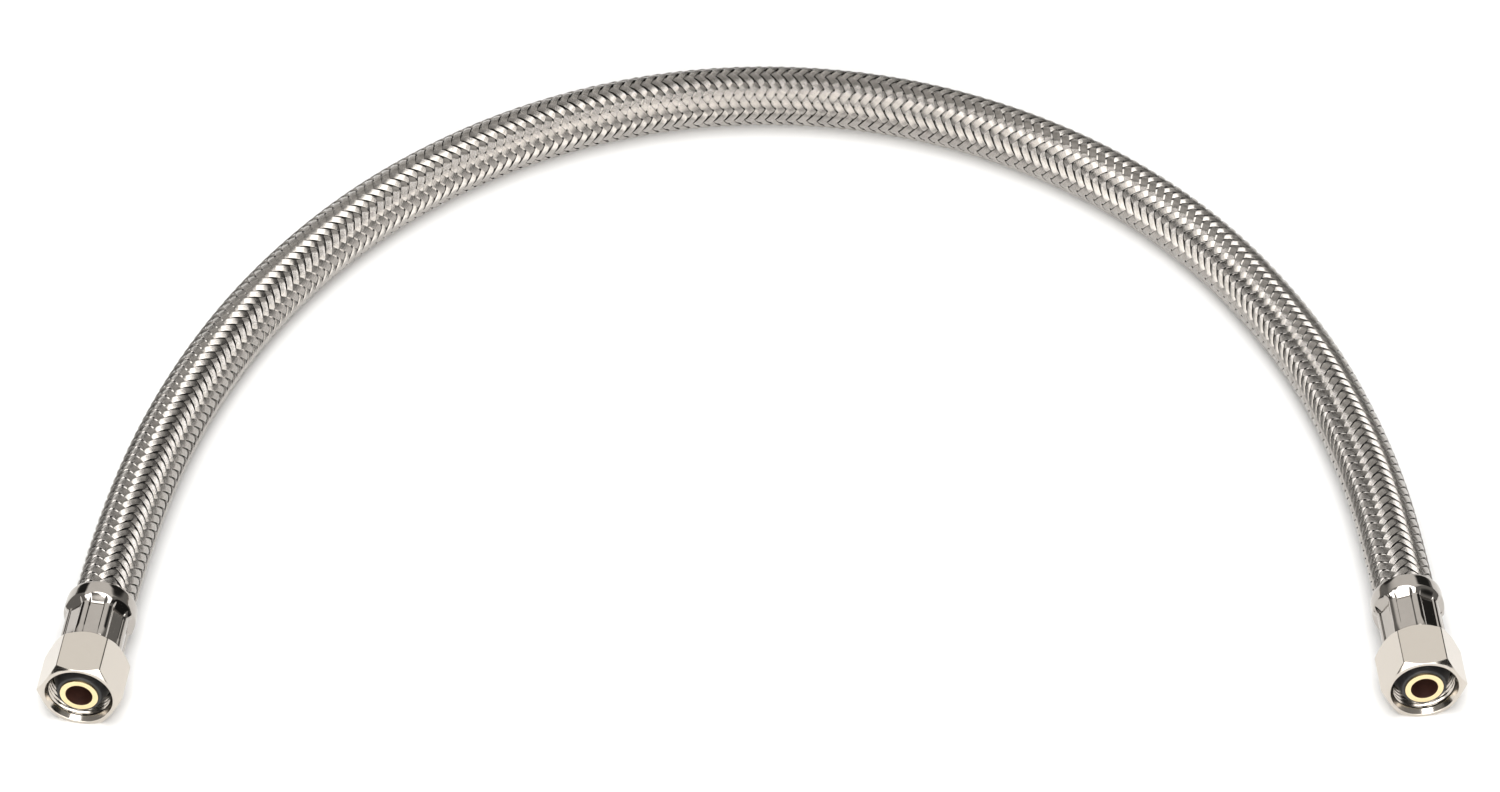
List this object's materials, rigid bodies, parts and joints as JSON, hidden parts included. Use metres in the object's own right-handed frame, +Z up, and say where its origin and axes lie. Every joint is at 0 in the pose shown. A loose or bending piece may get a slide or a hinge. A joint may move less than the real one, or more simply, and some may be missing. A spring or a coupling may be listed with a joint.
{
  "type": "braided supply line",
  "caption": "Flexible steel-braided water hose with a swivelling hexagon compression nut, rubber cone washer and crimped sleeve at each end, lying in an arch.",
  "frame": {"origin": "midway between the two end fittings, at the middle of their length, on the surface that the line lies on", "axes": "+Z up from that surface; +X from the left fitting to the right one; -Y is the way both mouths face, and the hose arches out to +Y"},
  "size_m": [0.2983, 0.1943, 0.0159],
  "materials": {
    "nickel_plate": "satin nickel plate on brass",
    "ring_nylon": "moulded, unpainted",
    "black_rubber": "matt moulded",
    "brass": "turned",
    "polished_steel": "polished stainless, crimped",
    "braid_wire": "bright drawn wire, woven",
    "yarn": "dark polyester yarn",
    "tube_rubber": "smooth extruded"
  },
  "bodies": {
    "hose": {"steel_braid": "braid_wire", "yarn_layer": "yarn", "inner_tube": "tube_rubber", "left_stem": "brass", "left_ferrule": "polished_steel", "left_cone_washer": "black_rubber", "right_stem": "brass", "right_ferrule": "polished_steel", "right_cone_washer": "black_rubber"},
    "left_ring": {"left_friction_ring": "ring_nylon"},
    "left_nut": {"left_coupling_nut": "nickel_plate"},
    "right_ring": {"right_friction_ring": "ring_nylon"},
    "right_nut": {"right_coupling_nut": "nickel_plate"}
  },
  "joints": [
    {"name": "left_nut_slide", "type": "slide", "parent": "hose", "child": "left_ring", "axis": [-0.1418, -0.9899, 0], "range_m": [0, 0.0015]},
    {"name": "left_nut_spin", "type": "hinge", "parent": "left_ring", "child": "left_nut", "pos_m": [-0.13871, -0.00338, 0.00794], "axis": [-0.1418, -0.9899, 0], "continuous": true},
    {"name": "right_nut_slide", "type": "slide", "parent": "hose", "child": "right_ring", "axis": [0.1032, -0.9947, 0], "range_m": [0, 0.0015]},
    {"name": "right_nut_spin", "type": "hinge", "parent": "right_ring", "child": "right_nut", "pos_m": [0.13893, -0.00129, 0.00794], "axis": [0.1032, -0.9947, 0], "continuous": true}
  ]
}
